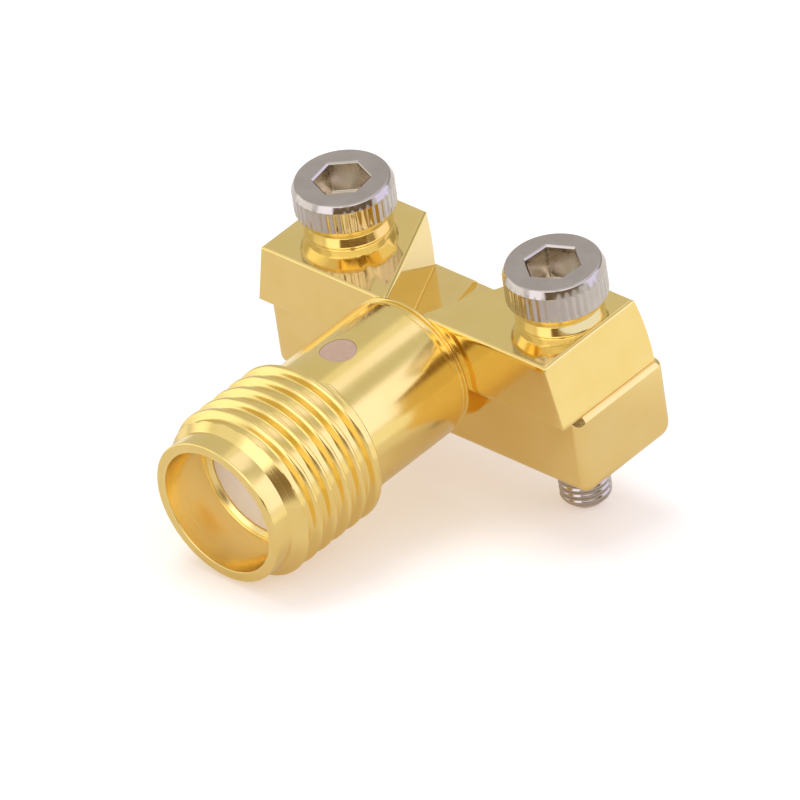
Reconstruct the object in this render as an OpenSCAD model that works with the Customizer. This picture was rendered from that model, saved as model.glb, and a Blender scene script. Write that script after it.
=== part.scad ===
// Edge-launch coaxial connector with a screw-down board clamp.
// The barrel's axis is Y: the coaxial port looks along -Y and the board comes in from +Y.
// The origin is where the board's edge, its top face and its centre line meet.

/* [Barrel] */
// Diameter of the plain barrel between the ears and the thread
barrel_d = 5.36; // [5.2:0.02:5.5]
// Distance from the ears' front face to the nose
barrel_l = 9.85; // [9.7:0.05:10.1]
// Distance from the ears' front face to the back of the thread
thread_start = 5.0; // [4.6:0.05:5.2]
// Outside diameter of the thread
thread_d = 6.35; // [6.2:0.01:6.5]
// Distance from one thread ridge to the next
thread_pitch = 0.7056; // [0.68:0.005:0.73]
// Diameter of the nose in front of the thread
nose_d = 5.5; // [5.4:0.02:5.7]
// Length of the plain nose
nose_l = 0.75; // [0.5:0.05:0.9]
// Depth of the relief groove in front of the ears
root_groove = 0.13; // [0.05:0.01:0.2]

/* [Coaxial port] */
// Diameter of the port's bore
port_d = 4.6; // [4.55:0.01:4.7]
// Depth of the port from its mouth to the step
port_depth = 1.85; // [1.8:0.01:1.95]
// Diameter of the dielectric
dielectric_d = 4.2; // [4.0:0.02:4.3]
// How far the dielectric lies below the step
dielectric_recess = 0.17; // [0.05:0.01:0.25]
// Diameter of the centre contact
contact_d = 1.27; // [1.2:0.01:1.3]
// Diameter of the socket in the centre contact
socket_d = 0.94; // [0.9:0.01:0.98]
// Diameter of the captivation plug on top of the barrel
plug_d = 1.3; // [1.0:0.05:1.5]
// Distance from the ears' front face to the captivation plug
plug_y = 3.24; // [2.8:0.02:3.6]

/* [Ears] */
// Height of the two ears above the board's top face
ear_h = 2.46; // [2.2:0.02:2.7]
// Depth of the ears from front to back
ear_depth = 4.72; // [4.5:0.02:5.0]
// Width over both ears at the top
ear_w_top = 13.1; // [12.8:0.05:13.4]
// Width over both ears at the bottom
ear_w_bottom = 14.14; // [13.9:0.02:14.3]
// Width of the notch between the ears at the front
notch_w_front = 1.54; // [1.5:0.02:1.8]
// Width of the notch between the ears at the back
notch_w_back = 6.1; // [5.8:0.05:6.4]
// Bevel along the ears' edges
edge_bevel = 0.07; // [0.03:0.01:0.12]

/* [Clamp] */
// Width of the clamp block
clamp_w = 14.5; // [14.1:0.05:14.6]
// Depth of the clamp block from front to back
clamp_depth = 4.46; // [4.2:0.02:4.6]
// Height of the clamp block
clamp_h = 3.14; // [2.8:0.02:3.3]
// Radius along the bottom edges of the clamp block
clamp_round = 0.45; // [0.2:0.05:0.6]
// Radius down the clamp block's upright corners
clamp_corner = 0.4; // [0.2:0.05:0.6]
// Depth of the ramp in the middle of the clamp's back edge
ramp_drop = 0.21; // [0.1:0.01:0.3]

/* [Screws] */
// Distance between the two screws
screw_spacing = 9.68; // [9.5:0.02:9.8]
// Distance from the ears' front face to the screws
screw_y = 2.72; // [2.6:0.01:2.85]
// Diameter of the screws' thread
screw_d = 1.84; // [1.8:0.02:2]
// Length of the screws under the head
screw_l = 7.96; // [7.5:0.02:8.5]
// Diameter of the screw heads
head_d = 3.6; // [3.4:0.02:3.7]
// Height of the screw heads
head_h = 2.05; // [1.8:0.05:2.2]
// Width across the flats of the hexagon socket
hex_af = 1.75; // [1.5:0.05:1.85]
// Depth of the hexagon socket
hex_depth = 1.0; // [0.8:0.05:1.2]
// Number of flutes around each head
flutes = 40; // [24:2:48]

/* [Hidden] */
$fn = 96;
slack = 0.02;

barrel_r = barrel_d / 2;
thread_r = thread_d / 2;
nose_r = nose_d / 2;
port_r = port_d / 2;
plug_r = plug_d / 2;
dielectric_r = dielectric_d / 2;

// Thread ridge: half width at the root and at the crest, and the radius at the root
thread_depth = 0.43;
thread_root_r = thread_r - thread_depth;
crest_half = 0.07;
flank_half = 0.19;
root_half = 0.31;
first_crest = thread_start + 0.33;
ridge_count = ceil((barrel_l - nose_l - first_crest) / thread_pitch);
lead_chamfer = 0.38;

// Rear launch: the stepped bore and the half-round pin that lies on the board
launch_r = 0.75;
launch_l = 1.2;
pin_r = 0.25;
pin_reach = 1.0;
contact_back = 1.5;
socket_depth = 2.3;
slot_w = 0.16;

// Holes: clear in the ears, and a running fit for the thread's crests in the clamp
ear_hole_r = screw_d / 2 + 0.2;
clamp_hole_r = screw_d / 2 + 0.05;

// The ears' back face is a little barrelled
back_bulge = 0.1;
back_arc_r = 7.6;
back_arc_z = 0.95;

// The screws stand a little in front of the clamp block's middle
clamp_shift = 0.09;
clamp_y = screw_y - clamp_depth / 2 + clamp_shift;
top_bevel = 0.2;
top_back_round = 0.28;
ramp_front_y = 3.5;
ramp_half_front = 1.02;
ramp_half_back = 1.4;

// Screw head: a round rim, a knurled side, a waist below it and a short foot
head_rim = 0.22;
knurl_bottom = 0.84;
flute_r = 0.09;
waist_r = head_d / 2 - 0.29;
waist_z = 0.48;
foot_r = head_d / 2 - 0.22;
foot_h = 0.12;
neck_r = screw_d / 2 - 0.12;
tip_chamfer = 0.3;
socket_bevel = 0.06;

// Turned form about the barrel's axis, from points [radius, distance in front of the ears]
module turned(points) {
  rotate([90, 0, 0])
    rotate_extrude()
      polygon(points);
}

// Cylinder along the barrel's axis, from one distance in front of the ears to another
module along_barrel(r, from, to) {
  rotate([90, 0, 0])
    translate([0, 0, from])
      cylinder(h = to - from, r = r);
}

// Rectangle with four round corners
module round_plate(w, d, r) {
  translate([r, 0])
    square([w - 2 * r, d]);
  translate([0, r])
    square([w, d - 2 * r]);
  for (x = [r, w - r], y = [r, d - r])
    translate([x, y])
      circle(r = r, $fn = 48);
}

// Outline given in X and Z, pushed along Y
module push_y(from, length) {
  translate([0, from + length, 0])
    rotate([90, 0, 0])
      linear_extrude(height = length)
        children();
}

// Outline given in Y and Z, pushed along X on both sides of the middle
module push_x(half) {
  translate([-half, 0, 0])
    rotate([90, 0, 90])
      linear_extrude(height = 2 * half)
        children();
}

// Plain barrel with the relief groove behind it
module barrel() {
  groove_r = barrel_r - root_groove;
  turned([
    [0, 0],
    [barrel_r - 0.03, 0],
    [barrel_r, 0.03],
    [barrel_r, 0.08],
    [groove_r, 0.13],
    [groove_r, 0.31],
    [barrel_r - 0.04, 0.37],
    [barrel_r, 0.42],
    [barrel_r, thread_start + slack],
    [0, thread_start + slack]
  ]);
}

// One thread ridge, its crest at this distance in front of the ears
module thread_ridge(at) {
  turned([
    [thread_root_r - slack, at - root_half],
    [thread_root_r + 0.04, at - root_half],
    [thread_r - 0.1, at - flank_half],
    [thread_r, at - crest_half],
    [thread_r, at + crest_half],
    [thread_r - 0.1, at + flank_half],
    [thread_root_r + 0.04, at + root_half],
    [thread_root_r - slack, at + root_half]
  ]);
}

// Everything in front of the plain barrel: shoulder, thread, lead chamfer and nose
module threaded_nose() {
  nose_start = barrel_l - nose_l;
  intersection() {
    union() {
      along_barrel(thread_root_r, thread_start, barrel_l);
      for (i = [0 : ridge_count - 1])
        thread_ridge(first_crest + i * thread_pitch);
      turned([
        [thread_root_r - slack, thread_start],
        [thread_r - 0.08, thread_start],
        [thread_r, thread_start + 0.06],
        [thread_r, thread_start + 0.12],
        [thread_root_r - slack, thread_start + 0.3]
      ]);
    }
    turned([
      [0, thread_start],
      [thread_r + slack, thread_start],
      [thread_r + slack, nose_start - lead_chamfer],
      [nose_r, nose_start],
      [nose_r, barrel_l - 0.06],
      [nose_r - 0.06, barrel_l],
      [0, barrel_l]
    ]);
  }
  along_barrel(nose_r - 0.06, thread_start, barrel_l);
}

// The two ears before the notch is cut: sloped ends, bevelled edges and a barrelled back
module ears() {
  b = edge_bevel;
  top = ear_w_top / 2;
  bottom = ear_w_bottom / 2;
  slope = (bottom - top) / ear_h;
  intersection() {
    push_y(0, ear_depth + back_bulge + slack)
      polygon([
        [-bottom, 0],
        [bottom, 0],
        [top + slope * b, ear_h - b],
        [top - b, ear_h],
        [-top + b, ear_h],
        [-top - slope * b, ear_h - b]
      ]);
    push_x(bottom + 1)
      polygon([
        [0, 0],
        [ear_depth + 1, 0],
        [ear_depth + 1, ear_h - b],
        [ear_depth - b, ear_h],
        [b, ear_h],
        [0, ear_h - b]
      ]);
    translate([-bottom - 1, ear_depth + back_bulge - back_arc_r, back_arc_z])
      rotate([0, 90, 0])
        cylinder(h = ear_w_bottom + 2, r = back_arc_r, $fn = 360);
  }
}

// Notch that opens the space over the board, wider towards the back
module notch() {
  front = notch_w_front / 2;
  widen = (notch_w_back - notch_w_front) / 2 / ear_depth;
  far = ear_depth + 1;
  translate([0, 0, -slack])
    linear_extrude(height = ear_h + 2 * slack + 1)
      polygon([
        [-front, 0],
        [front, 0],
        [front + widen * far, far],
        [-front - widen * far, far]
      ]);
}

// Body in one piece: ears, barrel, thread and port
module connector_body() {
  mouth = barrel_l;
  step = barrel_l - port_depth;
  color("gold")
    difference() {
      union() {
        difference() {
          ears();
          notch();
        }
        barrel();
        threaded_nose();
      }
      along_barrel(port_r, step, mouth + slack);
      turned([
        [0, mouth - 0.1],
        [port_r - slack, mouth - 0.1],
        [port_r, mouth - 0.1],
        [port_r + 0.1 + slack, mouth + slack],
        [0, mouth + slack]
      ]);
      along_barrel(dielectric_r, launch_l, step + slack);
      along_barrel(launch_r, -slack, launch_l + slack);
      translate([0, -plug_y, 0])
        cylinder(h = barrel_r + 1, r = plug_r);
      for (side = [-1, 1])
        translate([side * screw_spacing / 2, screw_y, -slack])
          cylinder(h = ear_h + 2 * slack, r = ear_hole_r);
    }
}

// Dielectric in two diameters with the contact's bore, cross-drilled for the plug
module dielectric() {
  front = barrel_l - port_depth - dielectric_recess;
  color("antiquewhite")
    difference() {
      union() {
        along_barrel(dielectric_r, launch_l, front);
        along_barrel(launch_r, 0, launch_l + slack);
      }
      along_barrel(contact_d / 2, contact_back, front + slack);
      along_barrel(pin_r, -slack, contact_back + slack);
      translate([0, -plug_y, 0])
        cylinder(h = barrel_r, r = plug_r);
    }
}

// Centre contact: slotted socket in front, half-round launch pin behind
module center_contact() {
  front = barrel_l - port_depth - dielectric_recess;
  contact_r = contact_d / 2;
  color("goldenrod")
    difference() {
      union() {
        turned([
          [0, contact_back],
          [contact_r, contact_back],
          [contact_r, front - 0.06],
          [contact_r - 0.06, front],
          [0, front]
        ]);
        along_barrel(pin_r, 0, contact_back + slack);
        intersection() {
          along_barrel(pin_r, -pin_reach, slack);
          translate([-1, -1, 0])
            cube([2, 3, 1]);
        }
      }
      along_barrel(socket_d / 2, front - socket_depth, front + slack);
      translate([-slot_w / 2, -front - slack, -1])
        cube([slot_w, socket_depth - 0.3, 2]);
    }
}

// Epoxy in the cross hole, rounded flush with the barrel
module epoxy_plug() {
  color("rosybrown")
    intersection() {
      translate([0, -plug_y, contact_d / 2 + slack])
        cylinder(h = barrel_r, r = plug_r);
      along_barrel(barrel_r, plug_y - 1, plug_y + 1);
    }
}

// Section of the clamp across its width: round bottom edges, bevelled top edges
module clamp_front_outline() {
  half = clamp_w / 2;
  intersection() {
    translate([-half, -clamp_h])
      round_plate(clamp_w, clamp_h + clamp_round, clamp_round);
    polygon([
      [-half - 1, -clamp_h - 1],
      [half + 1, -clamp_h - 1],
      [half + 1, -top_bevel - 1],
      [half, -top_bevel],
      [half - top_bevel, 0],
      [-half + top_bevel, 0],
      [-half, -top_bevel],
      [-half - 1, -top_bevel - 1]
    ]);
  }
}

// Section of the clamp from front to back: round bottom edges and a rounded top back edge
module clamp_side_outline() {
  back = clamp_depth;
  r = top_back_round;
  intersection() {
    translate([0, -clamp_h])
      round_plate(clamp_depth, clamp_h + clamp_round, clamp_round);
    union() {
      translate([-1, -clamp_h - 1])
        square([back - r + 1, clamp_h + 1]);
      translate([-1, -clamp_h - 1])
        square([back + 2, clamp_h + 1 - r]);
      translate([back - r, -r])
        circle(r = r, $fn = 48);
    }
  }
}

// Ramp that falls away from the middle of the clamp's top towards its back edge
module clamp_ramp() {
  back = clamp_y + clamp_depth;
  intersection() {
    push_x(3)
      polygon([
        [ramp_front_y, 0],
        [back + slack, -ramp_drop],
        [back + slack, 1],
        [ramp_front_y, 1]
      ]);
    translate([0, 0, -1])
      linear_extrude(height = 3)
        polygon([
          [-ramp_half_front, ramp_front_y],
          [ramp_half_front, ramp_front_y],
          [ramp_half_back, back + 2 * slack],
          [-ramp_half_back, back + 2 * slack]
        ]);
  }
}

// Clamp block under the board, drawn up by the two screws
module clamp_block() {
  color("darkgoldenrod")
    difference() {
      intersection() {
        push_y(clamp_y, clamp_depth)
          clamp_front_outline();
        translate([0, clamp_y, 0])
          push_x(clamp_w / 2)
            clamp_side_outline();
        translate([-clamp_w / 2, clamp_y, -clamp_h - 1])
          linear_extrude(height = clamp_h + 2)
            round_plate(clamp_w, clamp_depth, clamp_corner);
      }
      clamp_ramp();
      for (side = [-1, 1])
        translate([side * screw_spacing / 2, screw_y, -clamp_h - slack])
          cylinder(h = clamp_h + 2 * slack, r = clamp_hole_r);
    }
}

// Cap screw on the Z axis, its head seated at height 0
module cap_screw() {
  r = head_d / 2;
  shank_r = screw_d / 2;
  hex_r = hex_af / sqrt(3);
  difference() {
    rotate_extrude()
      polygon([
        [0, -screw_l],
        [shank_r - tip_chamfer, -screw_l],
        [shank_r, -screw_l + tip_chamfer],
        [shank_r, -1],
        [neck_r, -0.9],
        [neck_r, 0],
        [foot_r, 0],
        [foot_r, foot_h],
        [waist_r, waist_z],
        [r, knurl_bottom],
        [r, head_h - head_rim],
        [r - 0.13 * head_rim, head_h - 0.5 * head_rim],
        [r - 0.5 * head_rim, head_h - 0.13 * head_rim],
        [r - head_rim, head_h],
        [0, head_h]
      ]);
    for (i = [0 : flutes - 1])
      rotate([0, 0, i * 360 / flutes])
        translate([r + flute_r * 0.45, 0, waist_z])
          cylinder(h = head_h - head_rim - 0.05 - waist_z, r = flute_r, $fn = 24);
    translate([0, 0, head_h - hex_depth])
      cylinder(h = hex_depth + slack, r = hex_r, $fn = 6);
    translate([0, 0, head_h - hex_depth - 0.3])
      cylinder(h = 0.32, r1 = 0.2, r2 = hex_af / 2 - 0.05);
    translate([0, 0, head_h - socket_bevel])
      cylinder(h = socket_bevel + slack, r1 = hex_af / 2, r2 = hex_af / 2 + socket_bevel + slack);
  }
}

// Screw in the left ear, turned as it came to rest
module left_clamp_screw() {
  color("silver")
    translate([-screw_spacing / 2, screw_y, ear_h])
      rotate([0, 0, 45])
        cap_screw();
}

// Screw in the right ear
module right_clamp_screw() {
  color("silver")
    translate([screw_spacing / 2, screw_y, ear_h])
      rotate([0, 0, 30])
        cap_screw();
}

connector_body();
dielectric();
center_contact();
epoxy_plug();
clamp_block();
left_clamp_screw();
right_clamp_screw();
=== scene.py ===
"""Looks of the edge-launch coaxial jack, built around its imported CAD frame.

Lengths in the modelling code are millimetres, s is the distance in front of the ears (s = -y),
and every piece is made in place, so that it lies where its CAD node lies. A corner of a profile
or outline is written as its two coordinates and the radius that rounds it.
"""
import math

import bmesh
import bpy
import numpy as np
from mathutils import Matrix, Vector


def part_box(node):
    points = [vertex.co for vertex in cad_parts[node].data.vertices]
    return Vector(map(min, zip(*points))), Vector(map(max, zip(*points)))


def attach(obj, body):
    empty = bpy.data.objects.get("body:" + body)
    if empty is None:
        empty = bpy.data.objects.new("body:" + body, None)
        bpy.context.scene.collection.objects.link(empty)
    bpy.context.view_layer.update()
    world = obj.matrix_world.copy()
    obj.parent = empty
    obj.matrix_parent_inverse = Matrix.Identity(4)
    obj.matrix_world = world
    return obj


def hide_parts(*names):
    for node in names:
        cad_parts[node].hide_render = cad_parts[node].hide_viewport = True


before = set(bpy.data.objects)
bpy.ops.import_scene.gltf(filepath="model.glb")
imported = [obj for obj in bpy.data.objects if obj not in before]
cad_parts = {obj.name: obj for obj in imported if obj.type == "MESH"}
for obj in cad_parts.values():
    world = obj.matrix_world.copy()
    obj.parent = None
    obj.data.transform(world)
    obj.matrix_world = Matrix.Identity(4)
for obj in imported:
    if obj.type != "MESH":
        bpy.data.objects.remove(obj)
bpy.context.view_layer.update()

MM = 0.001
TAU = 2 * math.pi


def cad(node):
    """Lowest and highest corners of a CAD node, in millimetres."""
    low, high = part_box(node)
    return np.array(low) / MM, np.array(high) / MM


# Driving sizes
BODY_LOW, BODY_HIGH = cad("connector_body")
CLAMP_LOW, CLAMP_HIGH = cad("clamp_block")
SCREW_LOW, SCREW_HIGH = cad("right_clamp_screw")

BARREL_R = 2.68
BARREL_L = -BODY_LOW[1]
GROOVE_R = BARREL_R - 0.13
THREAD_R = 3.175
THREAD_DEPTH = 0.29
THREAD_START = 5.0
RUN_OUT = 0.24
COLLAR_L = 0.13
COLLAR_FADE = 0.36
PITCH = 0.73
CREST_AT = 5.3
CREST_TURN = 1 / 8
FLANK_FROM = 0.05
FLANK_TO = 0.36
NOSE_R = 2.75
NOSE_END = BARREL_L + 0.1
NOSE_START = NOSE_END - 0.75
LEAD_CHAMFER = 0.4
PORT_R = 2.36
STEP_AT = BARREL_L - 1.85
STEP_CHAMFER = 0.13
DIELECTRIC_R = 2.1
DIELECTRIC_FRONT = STEP_AT - 0.17
INSULATOR_BORE_R = 0.645
LAUNCH_R = 0.75
LAUNCH_L = 1.2
CONTACT_R = 0.635
CONTACT_BACK = 1.5
SOCKET_R = 0.47
PIN_R = 0.25
PLUG_R = 0.65
PLUG_AT = 3.24

EAR_H = 2.46
EAR_TOP = 6.55
EAR_BOTTOM = BODY_HIGH[0]
EAR_CORNER = 0.06
EAR_FOOT = 0.03
EAR_BEVEL = 0.08
NOTCH_FRONT = 0.77
NOTCH_SLOPE = 0.4831
BACK_BULGE = 4.82
BACK_ARC_R = 7.6
BACK_ARC_Z = 0.95

CLAMP_CORNER = 0.4
CLAMP_END_BEVEL = 0.16
CLAMP_NOSE_BEVEL = 0.04
CLAMP_BACK_ROUND = 0.28
CLAMP_LOW_ROUNDS = (0.42, 0.32, 0.62)
CLAMP_CORNER_CUT = 0.5

SCREW_X = (SCREW_LOW[0] + SCREW_HIGH[0]) / 2
SCREW_Y = (SCREW_LOW[1] + SCREW_HIGH[1]) / 2
HEAD_R = (SCREW_HIGH[0] - SCREW_LOW[0]) / 2
HEAD_H = SCREW_HIGH[2] - EAR_H
STRETCH_FROM = 0.9
FLUTES = 40
FLUTE_DEPTH = 0.025
HEX_FLAT = 0.87
HEX_DEPTH = 1.28
SHANK_R = 0.92
SHANK_ROOT_R = 0.865
SHANK_NECK_R = 0.8
SHANK_PITCH = 0.25
EAR_HOLE_R = 1.15
CLAMP_HOLE_R = 1.0

BARREL_COLUMNS = 320
HEAD_COLUMNS = 480
SHANK_COLUMNS = 60


# Shared mesh work
def smoothstep(x, low, high):
    """Smooth rise from 0 to 1 between two values."""
    t = np.clip((np.asarray(x, float) - low) / (high - low), 0, 1)
    return t * t * (3 - 2 * t)


def filleted(corners, steps=5):
    """Open polyline through corners (a, b, radius), each rounded by its radius."""
    points = []
    for i, (a, b, radius) in enumerate(corners):
        here = np.array([a, b], float)
        if radius == 0 or i in (0, len(corners) - 1):
            points.append(here)
            continue
        before = np.array(corners[i - 1][:2], float) - here
        after = np.array(corners[i + 1][:2], float) - here
        before /= np.linalg.norm(before)
        after /= np.linalg.norm(after)
        half = math.acos(np.clip(before @ after, -1, 1)) / 2
        reach = radius / math.tan(half)
        middle = before + after
        centre = here + middle / np.linalg.norm(middle) * radius / math.sin(half)
        start = here + before * reach - centre
        end = here + after * reach - centre
        turn = math.atan2(start[0] * end[1] - start[1] * end[0], start @ end)
        for k in range(steps + 1):
            c, s = math.cos(turn * k / steps), math.sin(turn * k / steps)
            points.append(centre + [start[0] * c - start[1] * s, start[0] * s + start[1] * c])
    return np.array(points)


def around(columns):
    """Angles of a ring's points."""
    return np.arange(columns) / columns * TAU


def ring_points(radius, turn, height):
    """Points of a level ring, whose radius may change along it."""
    return np.stack([radius * np.cos(turn), radius * np.sin(turn), np.full(len(turn), height)], 1)


def grid_faces(rows, columns, closed_rows, first=0):
    """Quads of a grid whose columns close on themselves."""
    faces = []
    for i in range(rows if closed_rows else rows - 1):
        a = first + i * columns
        b = first + (i + 1) % rows * columns
        for j in range(columns):
            k = (j + 1) % columns
            faces.append((a + j, a + k, b + k, b + j))
    return faces


def end_faces(rows, columns):
    """The faces that close a grid's first and last rows."""
    last = (rows - 1) * columns
    return [tuple(range(columns)), tuple(range(last, last + columns))]


def make_object(name, points, faces, materials, sharp_deg=32.0):
    """A mesh object from millimetre points, its normals turned outwards."""
    mesh = bpy.data.meshes.new(name)
    mesh.from_pydata((np.asarray(points, float) * MM).tolist(), [], faces)
    work = bmesh.new()
    work.from_mesh(mesh)
    bmesh.ops.recalc_face_normals(work, faces=work.faces)
    work.to_mesh(mesh)
    work.free()
    piece = bpy.data.objects.new(name, mesh)
    bpy.context.scene.collection.objects.link(piece)
    for material in materials:
        mesh.materials.append(material)
    shade(piece, sharp_deg)
    return piece


def shade(piece, sharp_deg):
    """Smooth faces that stay crisp at edges sharper than the angle."""
    piece.data.polygons.foreach_set("use_smooth", [True] * len(piece.data.polygons))
    piece.data.set_sharp_from_angle(angle=math.radians(sharp_deg))


def weigh_normals(piece):
    """Flat faces keep one even normal next to their bevels."""
    weights = piece.modifiers.new("Even normals", "WEIGHTED_NORMAL")
    weights.keep_sharp = True
    weights.weight = 80


def carve(piece, cutter, sharp_deg=32.0):
    """Takes the cutter's shape out of a piece, and drops the cutter."""
    cut = piece.modifiers.new("Cut", "BOOLEAN")
    cut.operation = "DIFFERENCE"
    cut.solver = "EXACT"
    cut.object = cutter
    bpy.context.view_layer.update()
    carved = piece.evaluated_get(bpy.context.evaluated_depsgraph_get())
    result = bpy.data.meshes.new_from_object(carved)
    result.name = piece.data.name
    piece.modifiers.remove(cut)
    piece.data = result
    bpy.data.objects.remove(cutter)
    shade(piece, sharp_deg)


def prism(name, low_ring, high_ring):
    """A closed solid between two rings of as many corners, used as a cutter."""
    columns = len(low_ring)
    faces = grid_faces(2, columns, False) + end_faces(2, columns)
    return make_object(name, [*low_ring, *high_ring], faces, [])


def rod(name, centre, radius, low, high):
    """A plain upright rod, used as a cutter."""
    turn = around(96)
    foot, top = (ring_points(radius, turn, z) + [*centre, 0] for z in (low, high))
    return prism(name, foot, top)


def lathe_y(profile, columns, radius_at=None):
    """Points of a profile (radius, s) turned about the barrel's axis; radius_at bends a row's radius."""
    turn = np.arange(columns) / columns
    across, up = np.cos(turn * TAU), np.sin(turn * TAU)
    rows = []
    for r, s in profile:
        reach = radius_at(r, s, turn) if radius_at else np.full(columns, r)
        rows.append(np.stack([reach * across, np.full(columns, -s), reach * up], 1))
    return np.concatenate(rows)


# Connector body
def thread_radius(r, s, turn):
    """Radius of a point of the thread: one right-handed ridge, its collar and its lead chamfer."""
    if r > 0:
        return np.full(turn.shape, r)
    phase = (s - CREST_AT) / PITCH - (turn - CREST_TURN)
    ridge = 1 - smoothstep(np.abs(phase - np.round(phase)), FLANK_FROM, FLANK_TO)
    collar = 1 - smoothstep(s, THREAD_START + COLLAR_L, THREAD_START + COLLAR_FADE)
    height = 1 - (1 - ridge) * (1 - collar)
    reach = THREAD_R - THREAD_DEPTH * (1 - height)
    # on one side, where the groove runs out, the thread starts further forward
    opens, closes = (0.18, 0.2), (0.55, 0.7)
    open_side = smoothstep(turn, *opens) * (1 - smoothstep(turn, *closes))
    shoulder = THREAD_START + RUN_OUT * open_side
    lead = NOSE_R + (NOSE_START - s) * (THREAD_R - NOSE_R) / LEAD_CHAMFER
    shoulder_bevel, soft, wall = 0.06, 0.02, 0.02
    for cone in (lead, THREAD_R - shoulder_bevel + s - shoulder):
        gap = np.abs(reach - cone)
        reach = np.minimum(reach, cone) - np.maximum(soft - gap, 0) ** 2 / (4 * soft)
    return BARREL_R + (reach - BARREL_R) * smoothstep(s, shoulder, shoulder + wall)


def barrel_points():
    """Profile of the barrel from its back face over the outside to the port and the inside."""
    back = filleted([
        (LAUNCH_R, 0, 0),
        (BARREL_R, 0, 0.03),
        (BARREL_R, 0.08, 0.02),
        (GROOVE_R, 0.12, 0.03),
        (GROOVE_R, 0.32, 0.04),
        (BARREL_R, 0.42, 0.06),
        (BARREL_R, THREAD_START - 0.01, 0),
    ])
    # rows whose radius comes from thread_radius are marked by a radius of 0
    shoulder = np.linspace(THREAD_START, THREAD_START + COLLAR_L, 13)
    ridges = np.linspace(THREAD_START + 0.15, NOSE_START - 0.01, 176)
    thread = [(0, s) for s in (*shoulder, *ridges)]
    front = filleted([
        (NOSE_R, NOSE_START, 0),
        (NOSE_R, NOSE_END, 0.06),
        (PORT_R, NOSE_END, 0.035),
        (PORT_R, STEP_AT, 0.05),
        (DIELECTRIC_R + STEP_CHAMFER, STEP_AT, 0.04),
        (DIELECTRIC_R, STEP_AT - STEP_CHAMFER, 0.03),
        (DIELECTRIC_R, LAUNCH_L, 0),
        (LAUNCH_R, LAUNCH_L, 0),
        (LAUNCH_R, 0.03, 0),
    ])
    return np.concatenate([back, thread, front])


def ear_outline(z, inset):
    """One ear's outline at a height, its corners a little round."""
    outer = EAR_BOTTOM + (EAR_TOP - EAR_BOTTOM) * z / EAR_H - inset
    back = BACK_BULGE - BACK_ARC_R + math.sqrt(BACK_ARC_R ** 2 - (z - BACK_ARC_Z) ** 2) - inset
    inner = NOTCH_FRONT + inset * math.hypot(1, NOTCH_SLOPE)
    corners = [
        (inner + NOTCH_SLOPE * inset, inset),
        (outer, inset),
        (outer, back),
        (inner + NOTCH_SLOPE * back, back),
    ]
    loop = corners + corners[:2]
    edge_steps = 10
    ring = []
    for i in range(1, 5):
        following = loop[(i + 1) % 6]
        arc = filleted([(*loop[i - 1], 0), (*loop[i], EAR_CORNER), (*following, 0)])[1:-1]
        ring.extend(arc)
        here, ahead = arc[-1], np.array(following)
        for k in range(1, edge_steps):
            ring.append(here + (ahead - here) * k / edge_steps)
    return np.array(ring)


def ear_piece(side):
    """One ear as a closed ring of faces about its screw hole."""
    bevel_foot = EAR_H - EAR_BEVEL
    # each level is a height and how far the outline draws in; the small steps soften the bevels
    levels = [(0.0, EAR_FOOT), (0.009, 0.009), (EAR_FOOT, 0.0)]
    levels += [(z, 0.0) for z in np.linspace(EAR_FOOT, bevel_foot - 0.01, 16)[1:]]
    levels += [(bevel_foot + 0.008, 0.006), (EAR_H - 0.006, EAR_BEVEL - 0.008)]
    levels.append((EAR_H, EAR_BEVEL + 0.01))
    rings = []
    for z, inset in levels:
        ring = ear_outline(z, inset)
        rings.append(np.column_stack([ring, np.full(len(ring), z)]))
    columns = len(rings[0])
    for z, source in ((EAR_H, rings[-1]), (0.0, rings[0])):
        away = source[:, :2] - [SCREW_X, SCREW_Y]
        away /= np.linalg.norm(away, axis=1)[:, None]
        hole = [SCREW_X, SCREW_Y] + away * EAR_HOLE_R
        rings.append(np.column_stack([hole, np.full(columns, z)]))
    points = np.concatenate(rings) * [side, 1, 1]
    return points, grid_faces(len(rings), columns, True)


def build_body(polished, turned):
    """The body's three pieces: the barrel with its cross hole, and both ears."""
    sharp_deg = 40
    points = lathe_y(barrel_points(), BARREL_COLUMNS, thread_radius)
    faces = grid_faces(len(points) // BARREL_COLUMNS, BARREL_COLUMNS, True)
    barrel = make_object("connector_body_barrel", points, faces, [turned], sharp_deg)
    carve(barrel, rod("plug_hole", (0, -PLUG_AT), PLUG_R, 0.9, 3.4), sharp_deg)
    parts = [barrel]
    for side, name in ((-1, "left"), (1, "right")):
        points, faces = ear_piece(side)
        ear = make_object("connector_body_ear_" + name, points, faces, [polished])
        weigh_normals(ear)
        parts.append(ear)
    return parts


# Clamp block
def clamp_outline(half, front, back, corner):
    """The block's outline at a height, with round corners."""
    loop = [(half, front), (half, back), (-half, back), (-half, front)]
    ring = []
    for i in range(4):
        before, here, after = loop[i - 1], loop[i], loop[(i + 1) % 4]
        ring.extend(filleted([(*before, 0), (*here, corner), (*after, 0)], 8)[1:-1])
    return np.array(ring)


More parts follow.
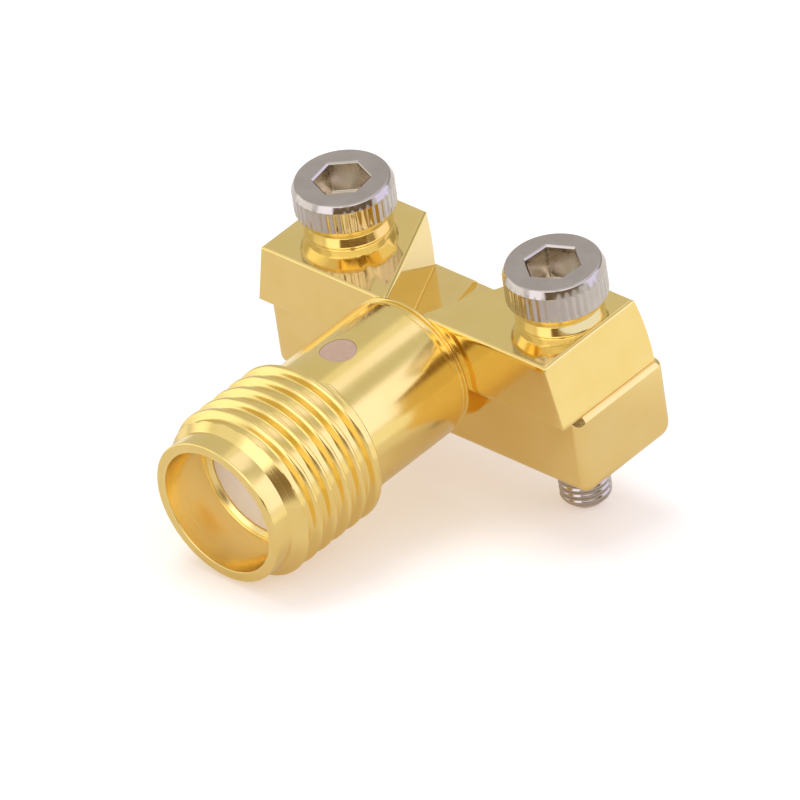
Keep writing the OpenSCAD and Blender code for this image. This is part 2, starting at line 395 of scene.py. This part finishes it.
def clamp_levels(height):
    """Heights of the block's rings, with how far its ends, nose and back draw in there."""
    tallest = max(CLAMP_LOW_ROUNDS)
    levels = []
    for rise in tallest * (1 - np.cos(np.linspace(0, math.pi / 2, 13))):
        insets = [r - math.sqrt(r * r - max(r - rise, 0) ** 2) for r in CLAMP_LOW_ROUNDS]
        levels.append((rise - height, *insets))
    for z in np.linspace(tallest - height, -CLAMP_BACK_ROUND, 10)[1:]:
        levels.append((z, 0, 0, 0))
    for z in np.linspace(-CLAMP_BACK_ROUND, 0, 15)[1:]:
        end, nose = max(z + CLAMP_END_BEVEL, 0), max(z + CLAMP_NOSE_BEVEL, 0)
        left = max(CLAMP_BACK_ROUND ** 2 - (z + CLAMP_BACK_ROUND) ** 2, 0)
        levels.append((z, end, nose, CLAMP_BACK_ROUND - math.sqrt(left)))
    return levels


def cut_corner(clamp, side, half, front):
    """Takes a small facet off one upper front corner."""
    tip = Vector((side * half, front, 0))
    steps = [Vector((-side, 0, 0)), Vector((0, 1, 0)), Vector((0, 0, -1))]
    near = [tip + step * CLAMP_CORNER_CUT for step in steps]
    out = Vector((side, -1, 1))
    carve(clamp, prism("corner_cut", near, [p + out for p in near]))


def cut_ramp(clamp, back):
    """Takes out the shallow ramp under the launch pin."""
    top, tail, drop = 3.5, back + 0.1, 0.21
    narrow, wide = 1.02, 1.42
    low = -drop / (back - top) * (tail - top)
    bottom = [(-narrow, top, 0), (narrow, top, 0), (wide, tail, low), (-wide, tail, low)]
    carve(clamp, prism("ramp", bottom, [(x, y, 1) for x, y, z in bottom]))


def build_clamp(polished):
    """The block with its screw holes, its corner facets and its ramp."""
    half = CLAMP_HIGH[0]
    front, back = CLAMP_LOW[1], CLAMP_HIGH[1]
    height = -CLAMP_LOW[2]
    rings = []
    for z, end, nose, tail in clamp_levels(height):
        radius = max(CLAMP_CORNER - max(end, nose), 0.06)
        ring = clamp_outline(half - end, front + nose, back - tail, radius)
        rings.append(np.column_stack([ring, np.full(len(ring), z)]))
    columns = len(rings[0])
    faces = grid_faces(len(rings), columns, False) + end_faces(len(rings), columns)
    clamp = make_object("clamp_body", np.concatenate(rings), faces, [polished])
    for side in (-1, 1):
        carve(clamp, rod("screw_hole", (side * SCREW_X, SCREW_Y), CLAMP_HOLE_R, -height - 1, 1))
        cut_corner(clamp, side, half, front)
    cut_ramp(clamp, back)
    weigh_normals(clamp)
    return clamp


# Cap screws
def head_profile():
    """Outside of the head from its seat to its top, waisted at the foot and round at the rim."""
    seat_r, waist_r, shoulder_r = 1.57, 1.505, 1.7
    foot = filleted([
        (EAR_HOLE_R, 0, 0),
        (seat_r, 0, 0.02),
        (seat_r - 0.005, 0.08, 0.04),
        (waist_r, 0.42, 0.1),
        (shoulder_r, 0.76, 0.06),
        (HEAD_R, 0.84, 0.04),
        (HEAD_R, 0.95, 0),
    ])
    side = [(HEAD_R, z) for z in np.linspace(0.99, HEAD_H - 0.36, 18)]
    rim = filleted([
        (HEAD_R, HEAD_H - 0.34, 0),
        (HEAD_R, HEAD_H - 0.3, 0.03),
        (HEAD_R - 0.14, HEAD_H, 0.13),
        (1.3, HEAD_H, 0),
        (1.12, HEAD_H, 0),
    ], 10)
    return [*foot, *side, *rim]


def head_rings(rise):
    """The head from its seat to the bottom of its hexagon socket, as rings of points.

    The rise stretches it above a height, so that its foot stays on the ear.
    """
    turn = around(HEAD_COLUMNS)
    ridge_width = 0.7
    valley = 1 - (0.5 + 0.5 * np.cos(turn * FLUTES)) ** ridge_width
    flutes_begin, flutes_end = (0.78, 0.9), (HEAD_H - 0.38, HEAD_H - 0.27)
    rings = []
    for r, z in head_profile():
        depth = FLUTE_DEPTH * smoothstep(z, *flutes_begin) * (1 - smoothstep(z, *flutes_end))
        rings.append((r - depth * valley, z))
    hexagon = 1 / np.cos((turn % (math.pi / 3)) - math.pi / 6)
    floor = HEAD_H - HEX_DEPTH
    socket = filleted([
        (HEX_FLAT + 0.08, HEAD_H, 0),
        (HEX_FLAT + 0.07, HEAD_H, 0.01),
        (HEX_FLAT, HEAD_H - 0.07, 0.02),
        (HEX_FLAT, floor, 0.03),
        (HEX_FLAT - 0.1, floor, 0),
    ], 3)
    rings += [(r * hexagon, z) for r, z in socket]
    rings += [(0.76, floor), (0.72, floor - 0.02), (0.1, floor - 0.3)]
    points = []
    for r, z in rings:
        share = min(max(z - STRETCH_FROM, 0) / (HEAD_H - STRETCH_FROM), 1)
        points.append(ring_points(r, turn, z + rise * share))
    return points


def shank_rings(tip):
    """The shank from under the head to its chamfered tip."""
    turn = around(SHANK_COLUMNS)
    thread_top, thread_full = -0.95, -1.5
    tip_r = SHANK_R - 0.33
    rows = [(SHANK_NECK_R, z) for z in (0.0, -0.5, -0.9)]
    for z in np.linspace(thread_top, tip + 0.01, 260):
        ridge = 0.5 + 0.5 * np.cos(z / SHANK_PITCH * TAU - turn)
        ridge = ridge * (1 - smoothstep(z, thread_full, thread_top))
        reach = SHANK_ROOT_R + (SHANK_R - SHANK_ROOT_R) * ridge
        rows.append((np.minimum(reach, tip_r + 0.03 + (z - tip)), z))
    rows.append((tip_r, tip))
    return [ring_points(r, turn, z) for r, z in rows]


def build_screw(name, side, steel, turned_deg, rise, shift):
    """Cap screw with a knurled head; rise and shift are how far the pictured one sits from the CAD's."""
    head, shank = head_rings(rise), shank_rings(SCREW_LOW[2] - EAR_H)
    points = list(np.concatenate(head))
    faces = grid_faces(len(head), HEAD_COLUMNS, False)
    last = len(points) - HEAD_COLUMNS
    points.append(np.array([0, 0, head[-1][0, 2] - 0.03]))
    faces += [(last + j, last + (j + 1) % HEAD_COLUMNS, len(points) - 1) for j in range(HEAD_COLUMNS)]
    first = len(points)
    points.extend(np.concatenate(shank))
    faces += grid_faces(len(shank), SHANK_COLUMNS, False, first)
    faces.append(tuple(range(len(points) - SHANK_COLUMNS, len(points))))
    # the seat of the head has more columns than the shank, so each face joins several to one
    many = HEAD_COLUMNS // SHANK_COLUMNS
    for j in range(SHANK_COLUMNS):
        seat = [(j * many + k) % HEAD_COLUMNS for k in range(many + 1)]
        faces.append((first + j, *seat, first + (j + 1) % SHANK_COLUMNS))

    c, s = math.cos(math.radians(turned_deg)), math.sin(math.radians(turned_deg))
    points = np.array(points)
    x = points[:, 0] * c - points[:, 1] * s + side * SCREW_X
    y = points[:, 0] * s + points[:, 1] * c + SCREW_Y + shift
    screw = make_object(name, np.stack([x, y, points[:, 2] + EAR_H], 1), faces, [steel], 38)
    weigh_normals(screw)
    return screw


# Insulator, contact and plug
def build_dielectric(plastic):
    """Stepped insulator with the contact's bore, the launch pin's hole and the cross hole."""
    outer_r, launch_r, pin_hole_r = DIELECTRIC_R - 0.01, LAUNCH_R - 0.01, 0.26
    contact_seat = CONTACT_BACK - 0.01
    profile = filleted([
        (INSULATOR_BORE_R, DIELECTRIC_FRONT - 3, 0),
        (INSULATOR_BORE_R, DIELECTRIC_FRONT, 0.02),
        (outer_r, DIELECTRIC_FRONT, 0.03),
        (outer_r, LAUNCH_L + 0.01, 0.02),
        (launch_r, LAUNCH_L + 0.01, 0),
        (launch_r, 0.01, 0.01),
        (pin_hole_r, 0.01, 0),
        (pin_hole_r, contact_seat, 0),
        (INSULATOR_BORE_R, contact_seat, 0),
    ], 4)
    columns = 128
    points = lathe_y(profile, columns)
    faces = grid_faces(len(profile), columns, True)
    piece = make_object("dielectric_insulator", points, faces, [plastic])
    carve(piece, rod("cross_hole", (0, -PLUG_AT), PLUG_R, 0.3, 3))
    return piece


def contact_socket(gold):
    """The contact's slotted socket, which takes the plug's pin."""
    mouth = DIELECTRIC_FRONT - 0.005
    drill_end = DIELECTRIC_FRONT - 2.32
    profile = filleted([
        (0.0, CONTACT_BACK, 0),
        (CONTACT_R, CONTACT_BACK, 0.02),
        (CONTACT_R, mouth, 0.06),
        (SOCKET_R, mouth, 0.03),
        (SOCKET_R, DIELECTRIC_FRONT - 2.2, 0.02),
        (0.0, drill_end, 0),
    ], 4)[1:-1]
    columns = 96
    points = list(lathe_y(profile, columns))
    faces = grid_faces(len(profile), columns, False)
    points += [np.array([0, -CONTACT_BACK, 0]), np.array([0, -drill_end, 0])]
    last = (len(profile) - 1) * columns
    for j in range(columns):
        k = (j + 1) % columns
        faces.append((j, k, len(points) - 2))
        faces.append((last + j, last + k, len(points) - 1))
    socket = make_object("center_contact_socket", points, faces, [gold])

    half, near, far = 0.08, -(DIELECTRIC_FRONT - 2), -(DIELECTRIC_FRONT + 1)
    ring = [(-half, near), (half, near), (half, far), (-half, far)]
    carve(socket, prism("slot", [(x, y, -1) for x, y in ring], [(x, y, 1) for x, y in ring]))
    return socket


def contact_pin(gold):
    """The launch pin, round inside the barrel and half round on the board."""
    reach, chamfer, steps = 1.0, 0.03, 32
    turn = around(steps)
    sections = [
        (-1.52, PIN_R, False),
        (0.0, PIN_R, False),
        (0.001, PIN_R, True),
        (reach - chamfer, PIN_R, True),
        (reach, PIN_R - chamfer, True),
    ]
    rings = []
    for y, r, flat in sections:
        x, z = r * np.cos(turn), r * np.sin(turn)
        if flat:
            z = np.maximum(z, 0)
        rings.append(np.stack([x, np.full(steps, y), z], 1))
    faces = grid_faces(len(rings), steps, False) + end_faces(len(rings), steps)
    return make_object("center_contact_pin", np.concatenate(rings), faces, [gold])


def build_plug(epoxy):
    """Fill of the cross hole, whose top follows the barrel and sinks a little at its edge."""
    radius, columns, rings = PLUG_R - 0.008, 72, 12
    edge_sink, middle, bottom = 0.012, 1.5, 0.66
    turn = around(columns)
    rows = []
    for k in range(1, rings + 1):
        r = radius * k / rings
        x, y = r * np.cos(turn), r * np.sin(turn) - PLUG_AT
        sink = edge_sink * smoothstep(k / rings, 0.8, 1.0)
        rows.append(np.stack([x, y, np.sqrt(BARREL_R ** 2 - x ** 2) - sink], 1))
    x, y = rows[-1][:, 0], rows[-1][:, 1]
    for z in (middle, bottom):
        rows.append(np.stack([x, y, np.full(columns, z)], 1))
    points = list(np.concatenate(rows))
    faces = grid_faces(len(rows), columns, False)
    points.append(np.array([0, -PLUG_AT, BARREL_R]))
    faces += [(j, (j + 1) % columns, len(points) - 1) for j in range(columns)]
    faces.append(end_faces(len(rows), columns)[1])
    return make_object("epoxy_plug_fill", points, faces, [epoxy])


# Materials
class Nodes:
    """A material's node tree, with short ways to add and join nodes."""

    def __init__(self, name):
        self.material = bpy.data.materials.new(name)
        self.material.use_nodes = True
        self.tree = self.material.node_tree
        self.shader = self.tree.nodes["Principled BSDF"]
        self.place = self.add("ShaderNodeTexCoord").outputs["Object"]

    def add(self, kind, values=None, **settings):
        """A new node with these settings, its inputs set or joined."""
        node = self.tree.nodes.new(kind)
        for key, value in settings.items():
            setattr(node, key, value)
        for key, value in (values or {}).items():
            self.put(value, node.inputs[key])
        return node

    def put(self, value, socket):
        """Joins another node's output to a socket, or sets the socket's value."""
        if isinstance(value, bpy.types.NodeSocket):
            self.tree.links.new(value, socket)
        else:
            socket.default_value = value

    def surface(self, inputs):
        """Sets the shader's inputs, or joins nodes to them."""
        for key, value in inputs.items():
            self.put(value, self.shader.inputs[key])

    def noise(self, scale, detail=3.0, stretch=None):
        place = self.place
        if stretch:
            place = self.add("ShaderNodeMapping", {"Vector": place, "Scale": stretch}).outputs[0]
        values = {"Vector": place, "Scale": scale, "Detail": detail}
        return self.add("ShaderNodeTexNoise", values).outputs["Fac"]

    def math(self, operation, a, b=0.0):
        return self.add("ShaderNodeMath", {0: a, 1: b}, operation=operation).outputs[0]

    def vector(self, operation, a, b=(0, 0, 0)):
        return self.add("ShaderNodeVectorMath", {0: a, 1: b}, operation=operation).outputs[0]

    def length(self, vector):
        return self.add("ShaderNodeVectorMath", {0: vector}, operation="LENGTH").outputs["Value"]

    def span(self, value, low, high, to_low=0.0, to_high=1.0):
        """The value carried from one range to another, and held at its ends."""
        values = {"Value": value, "From Min": low, "From Max": high, "To Min": to_low, "To Max": to_high}
        return self.add("ShaderNodeMapRange", values).outputs[0]

    def blend(self, factor, a, b):
        node = self.add("ShaderNodeMix", {"Factor": factor}, data_type="RGBA")
        self.put(a, node.inputs["A"])
        self.put(b, node.inputs["B"])
        return node.outputs["Result"]

    def bump(self, height, strength, distance=0.00001, normal=None):
        node = self.add("ShaderNodeBump", {"Height": height, "Strength": strength, "Distance": distance})
        if normal:
            self.put(normal, node.inputs["Normal"])
        return node.outputs[0]


def gold_polished(name, light, deep):
    """Bright gold in two close shades, with fine scratches and a slight grain."""
    n = Nodes(name)
    patches = n.noise(900.0, 2.0)
    scratches = n.noise(1.0, 4.0, (2600.0, 500.0, 9000.0))
    grain = n.noise(26000.0)
    n.surface({
        "Base Color": n.blend(n.span(patches, 0.35, 0.65), light, deep),
        "Metallic": 1.0,
        "Roughness": n.span(scratches, 0.3, 0.7, 0.05, 0.13),
        "Normal": n.bump(grain, 0.05),
    })
    return n.material


def gold_turned(name, light, deep):
    """Gold with rings left by the lathe; the wall of the port is less smooth and has painted light, a
    lighter and yellower gold than the outside.
    """
    n = Nodes(name)
    patches = n.noise(700.0, 2.0)
    rings = n.noise(1.0, 5.0, (120.0, 22000.0, 120.0))
    grain = n.noise(24000.0)
    from_axis = n.length(n.vector("MULTIPLY", n.place, (1, 0, 1)))
    # painted light: this mask colours the shaded wall of the port a lighter gold, and also makes it less
    # smooth
    port = n.span(from_axis, (PORT_R + 0.02) * MM, (PORT_R + 0.14) * MM, 1.0, 0.0)
    tint = n.blend(n.span(patches, 0.35, 0.65), light, deep)
    roughness = n.span(rings, 0.3, 0.7, 0.11, 0.2)
    n.surface({
        # painted light: the lighter gold inside the port
        "Base Color": n.blend(port, tint, (1.0, 0.79, 0.32, 1)),
        "Metallic": 1.0,
        "Roughness": n.math("ADD", roughness, n.math("MULTIPLY", port, 0.08)),
        "Normal": n.bump(grain, 0.05, normal=n.bump(rings, 0.12)),
    })
    return n.material


def gold_contact(name):
    """Gold with a faint glow, without which the port's wall mirrors the contact as a dark patch."""
    material = gold_turned(name, (0.98, 0.73, 0.32, 1), (0.94, 0.68, 0.28, 1))
    shader = material.node_tree.nodes["Principled BSDF"]
    shader.inputs["Emission Color"].default_value = (0.5, 0.38, 0.18, 1)
    shader.inputs["Emission Strength"].default_value = 0.22
    return material


def steel_polished(name):
    """Warm steel, less smooth in the sockets, with painted light there that colours them lighter, and
    golden on the lower part of the heads.

    The golden part stands in for the ears' reflection, of which the studio shows too little.
    """
    n = Nodes(name)
    mirrored = n.vector("ABSOLUTE", n.place)
    beside = n.vector("ADD", mirrored, (-SCREW_X * MM, -SCREW_Y * MM, 0))
    from_axis = n.length(n.vector("MULTIPLY", beside, (1, 1, 0)))
    height = n.add("ShaderNodeSeparateXYZ", {0: n.place}).outputs[2]

    def band(begin, end):
        """Mask between two heights above the ears, each given as the two ends of its soft edge."""
        rise = n.span(height, *((EAR_H + z) * MM for z in begin))
        fall = n.span(height, *((EAR_H + z) * MM for z in end), 1.0, 0.0)
        return n.math("MULTIPLY", rise, fall)

    inside = n.span(from_axis, 1.1 * MM, 1.15 * MM, 1.0, 0.0)
    outside = n.math("SUBTRACT", 1.0, inside)
    # painted light: this mask colours the hex sockets a lighter steel, as if light reached into them
    socket = n.math("MULTIPLY", inside, band((0.2, 0.3), (HEAD_H - 0.2, HEAD_H - 0.14)))
    # painted reflection: this mask turns the lower part of the heads golden, as if mirroring the ears
    collar = n.math("MULTIPLY", outside, band((0.0, 0.02), (0.74, 0.84)))
    patches = n.span(n.noise(1200.0), 0.3, 0.7)
    tint = n.blend(patches, (0.6, 0.54, 0.49, 1), (0.54, 0.48, 0.43, 1))
    # painted light: the lighter steel inside the sockets
    tint = n.blend(socket, tint, (0.76, 0.69, 0.59, 1))
    marks = n.noise(1.0, 4.0, (5200.0, 5200.0, 900.0))
    roughness = n.span(marks, 0.3, 0.7, 0.05, 0.14)
    grain = n.noise(30000.0)
    n.surface({
        "Base Color": n.blend(collar, tint, (0.88, 0.76, 0.45, 1)),
        "Metallic": 1.0,
        "Roughness": n.math("ADD", roughness, n.math("MULTIPLY", socket, 0.07)),
        "Normal": n.bump(grain, 0.08),
    })
    return n.material


def plastic_waxy(name):
    """Off-white plastic with turning marks and a little light inside."""
    n = Nodes(name)
    mottle = n.noise(2400.0, 4.0)
    cuts = n.noise(1.0, 3.0, (1500.0, 9000.0, 1500.0))
    n.surface({
        "Base Color": n.blend(n.span(mottle, 0.3, 0.7), (1.0, 0.88, 0.79, 1), (0.97, 0.85, 0.76, 1)),
        "Roughness": n.span(mottle, 0.3, 0.7, 0.38, 0.5),
        "Subsurface Weight": 0.15,
        "Subsurface Scale": 0.0004,
        "Normal": n.bump(cuts, 0.1, 0.00002),
    })
    return n.material


def epoxy_cured(name):
    """Brownish pink fill, ground flush."""
    n = Nodes(name)
    mottle = n.noise(5200.0, 4.0)
    n.surface({
        "Base Color": n.blend(n.span(mottle, 0.3, 0.7), (0.5, 0.33, 0.24, 1), (0.45, 0.3, 0.21, 1)),
        "Roughness": n.span(mottle, 0.3, 0.7, 0.3, 0.42),
        "Normal": n.bump(n.noise(14000.0), 0.15, 0.00002),
    })
    return n.material


def floor_paper(name):
    """Pale matt paper, seen from above only; metal mirrors it darker, and only near the jack."""
    n = Nodes(name)
    seen = n.add("ShaderNodeLightPath").outputs["Is Camera Ray"]
    # The paper is bluish and its glow warm, so the floor is white where lit and its real shadow gets a
    # painted warm tint, standing in for light thrown by the gold; metal mirrors a darker copy with the
    # same tint
    paper = n.blend(n.noise(300.0), (0.59, 0.65, 0.71, 1), (0.57, 0.63, 0.69, 1))
    n.surface({
        "Base Color": n.blend(seen, (0.33, 0.39, 0.44, 1), paper),
        "Roughness": 0.9,
        "Specular IOR Level": 0.0,
        "Emission Color": n.blend(seen, (0.38, 0.265, 0.165, 1), (0.51, 0.4, 0.31, 1)),
        "Emission Strength": 1.0,
    })
    below = n.add("ShaderNodeNewGeometry").outputs["Backfacing"]
    far = n.span(n.length(n.place), 0.017, 0.022)
    unseen = n.math("SUBTRACT", 1.0, seen)
    hidden = n.math("MAXIMUM", below, n.math("MULTIPLY", far, unseen))
    clear = n.add("ShaderNodeBsdfTransparent").outputs[0]
    mix = n.add("ShaderNodeMixShader", {0: hidden, 1: n.shader.outputs[0], 2: clear})
    n.put(mix.outputs[0], n.tree.nodes["Material Output"].inputs["Surface"])
    return n.material


# Studio
class World(Nodes):
    """The studio's light as soft-edged panels in the directions that the metal mirrors."""

    def __init__(self):
        world = bpy.data.worlds.new("studio")
        bpy.context.scene.world = world
        world.use_nodes = True
        self.tree = world.node_tree
        self.back = self.tree.nodes["Background"]
        ways = self.add("ShaderNodeSeparateXYZ", {0: self.add("ShaderNodeTexCoord").outputs["Generated"]})
        x, y, z = ways.outputs
        degree = 180 / math.pi
        from_right = self.math("ARCTAN2", self.math("MULTIPLY", y, -1.0), x)
        self.az = self.math("ADD", self.math("MULTIPLY", from_right, degree), 90.0)
        self.el = self.math("MULTIPLY", self.math("ARCSINE", z), degree)

    def edge(self, value, at, soft):
        """A soft rise from 0 to 1 about a value."""
        values = {"Value": value, "From Min": at - soft, "From Max": at + soft}
        return self.add("ShaderNodeMapRange", values, interpolation_type="SMOOTHSTEP").outputs[0]

    def panel(self, az, el, soft):
        """Mask of a patch between two azimuths and two elevations, in degrees."""
        masks = []
        for value, (low, high) in ((self.az, az), (self.el, el)):
            fall = self.math("SUBTRACT", 1.0, self.edge(value, high, soft))
            masks.append(self.math("MULTIPLY", self.edge(value, low, soft), fall))
        return self.math("MULTIPLY", *masks)


def build_world():
    """White below, grey at the sides and lighter overhead, with panels; the camera sees white."""
    w = World()
    low_white = (0.95, 0.94, 0.92, 1)
    side_grey = (0.62, 0.617, 0.61, 1)
    overhead = (0.75, 0.75, 0.75, 1)
    colour = w.blend(w.edge(w.el, at=-4.0, soft=3.0), low_white, side_grey)
    colour = w.blend(w.edge(w.el, at=70.0, soft=6.0), colour, overhead)
    # azimuth from +Y towards +X, elevation, softness in degrees, level, share of blue
    panels = [
        ((52, 206), (2, 70), 6, 0.93, 1.0),
        ((206, 236), (18, 52), 6, 0.86, 1.0),
        ((96, 196), (24, 50), 5, 1.45, 1.1),
        ((162, 196), (0, 30), 4, 1.5, 1.1),
        ((-26, -6), (38, 70), 4, 0.86, 1.0),
        ((-8, 16), (40, 70), 4, 1.05, 1.3),
        ((14, 38), (54, 70), 4, 1.04, 1.3),
        ((22, 66), (-3, 38), 4, 1.17, 1.35),
        ((62, 100), (24, 44), 4, 1.17, 1.2),
        ((206, 256), (-8, 20), 5, 1.25, 1.0),
        ((84, 143), (-12, 9), 3, 0.68, 0.9),
        ((74, 162), (9, 23), 3, 0.22, 0.4),
        ((143, 162), (-9, 14), 3, 0.22, 0.4),
        ((127, 139), (31, 41), 3, 0.17, 0.4),
        ((-18, 22), (-2, 20), 5, 0.42, 1.0),
    ]
    for az, el, soft, level, blue in panels:
        green = min(0.5 + 0.5 * blue, 1)
        colour = w.blend(w.panel(az, el, soft), colour, (level, level * green, level * blue, 1))
    seen = w.add("ShaderNodeLightPath").outputs["Is Camera Ray"]
    w.put(w.blend(seen, colour, (1, 1, 1, 1)), w.back.inputs["Color"])
    w.put(1.0, w.back.inputs["Strength"])


def build_lamp():
    """Soft overhead light that gathers the shadow under the jack; metal does not mirror it."""
    azimuth, elevation = math.radians(-60), math.radians(74)
    data = bpy.data.lights.new("soft_lamp", "SUN")
    data.energy = 1.1
    data.angle = math.radians(30)
    lamp = bpy.data.objects.new("soft_lamp", data)
    level = math.cos(elevation)
    way = Vector((math.sin(azimuth) * level, math.cos(azimuth) * level, math.sin(elevation)))
    lamp.rotation_euler = way.to_track_quat("Z", "Y").to_euler()
    lamp.visible_glossy = False
    bpy.context.scene.collection.objects.link(lamp)


def build_floor():
    """Pale floor under the two screw tips and the thread, on which the jack rests nose down."""
    radius, sides, gap = 55.0, 96, 0.02
    normal = Vector((0, 0.212, 0.977)).normalized()
    across = Vector((1, 0, 0))
    along = normal.cross(across)
    centre = Vector((0, 2.1, -5.5)) - normal * gap
    points = []
    for k in range(sides):
        turn = k / sides * TAU
        way = across * math.cos(turn) + along * math.sin(turn)
        points.append(tuple((centre + way * radius) * MM))
    mesh = bpy.data.meshes.new("floor")
    mesh.from_pydata(points, [], [tuple(range(sides))])
    mesh.materials.append(floor_paper("floor_paper"))
    floor = bpy.data.objects.new("floor", mesh)
    bpy.context.scene.collection.objects.link(floor)


def build_camera():
    """Long lens at the photograph's viewing angle, framed on a square picture."""
    right = Vector((0.7399, 0.6616, -0.1220))
    up = Vector((-0.3226, 0.5080, 0.7986))
    back = right.cross(up).normalized()
    up = back.cross(right).normalized()
    right.normalize()
    aim = Vector((0.132, -0.849, -0.928)) * MM
    distance = 628.17 * MM
    data = bpy.data.cameras.new("camera")
    data.lens = 824.75
    data.sensor_width = 36
    data.clip_start = 0.01
    data.clip_end = 5
    camera = bpy.data.objects.new("camera", data)
    turned = Matrix((right, up, back)).transposed().to_4x4()
    camera.matrix_world = Matrix.Translation(aim + back * distance) @ turned
    bpy.context.scene.collection.objects.link(camera)
    bpy.context.scene.camera = camera


# Assembly
def dress(pieces, body, node):
    """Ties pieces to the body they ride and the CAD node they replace."""
    for piece in pieces:
        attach(piece, body)
        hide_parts(node)


def main():
    bpy.context.scene.view_settings.view_transform = "Standard"
    polished = gold_polished("gold_ears", (0.99, 0.75, 0.29, 1), (0.97, 0.725, 0.265, 1))
    clamp_gold = gold_polished("gold_clamp", (0.985, 0.74, 0.3, 1), (0.96, 0.715, 0.27, 1))
    turned = gold_turned("gold_barrel", (0.99, 0.755, 0.28, 1), (0.97, 0.73, 0.25, 1))
    contact_gold = gold_contact("gold_contact")
    steel = steel_polished("steel_screws")
    plastic = plastic_waxy("plastic_insulator")
    epoxy = epoxy_cured("epoxy_fill")

    body = build_body(polished, turned)
    insulator = build_dielectric(plastic)
    contact = [contact_socket(contact_gold), contact_pin(contact_gold)]
    plug = build_plug(epoxy)
    clamp = build_clamp(clamp_gold)
    left = build_screw("left_screw_body", -1, steel, turned_deg=39.5, rise=-0.1, shift=-0.05)
    right = build_screw("right_screw_body", 1, steel, turned_deg=24.5, rise=0.07, shift=0.05)

    dress(body, "connector", "connector_body")
    dress([insulator], "connector", "dielectric")
    dress(contact, "connector", "center_contact")
    dress([plug], "connector", "epoxy_plug")
    dress([clamp], "clamp", "clamp_block")
    dress([left], "left_screw", "left_clamp_screw")
    dress([right], "right_screw", "right_clamp_screw")

    build_world()
    build_lamp()
    build_floor()
    build_camera()


main()
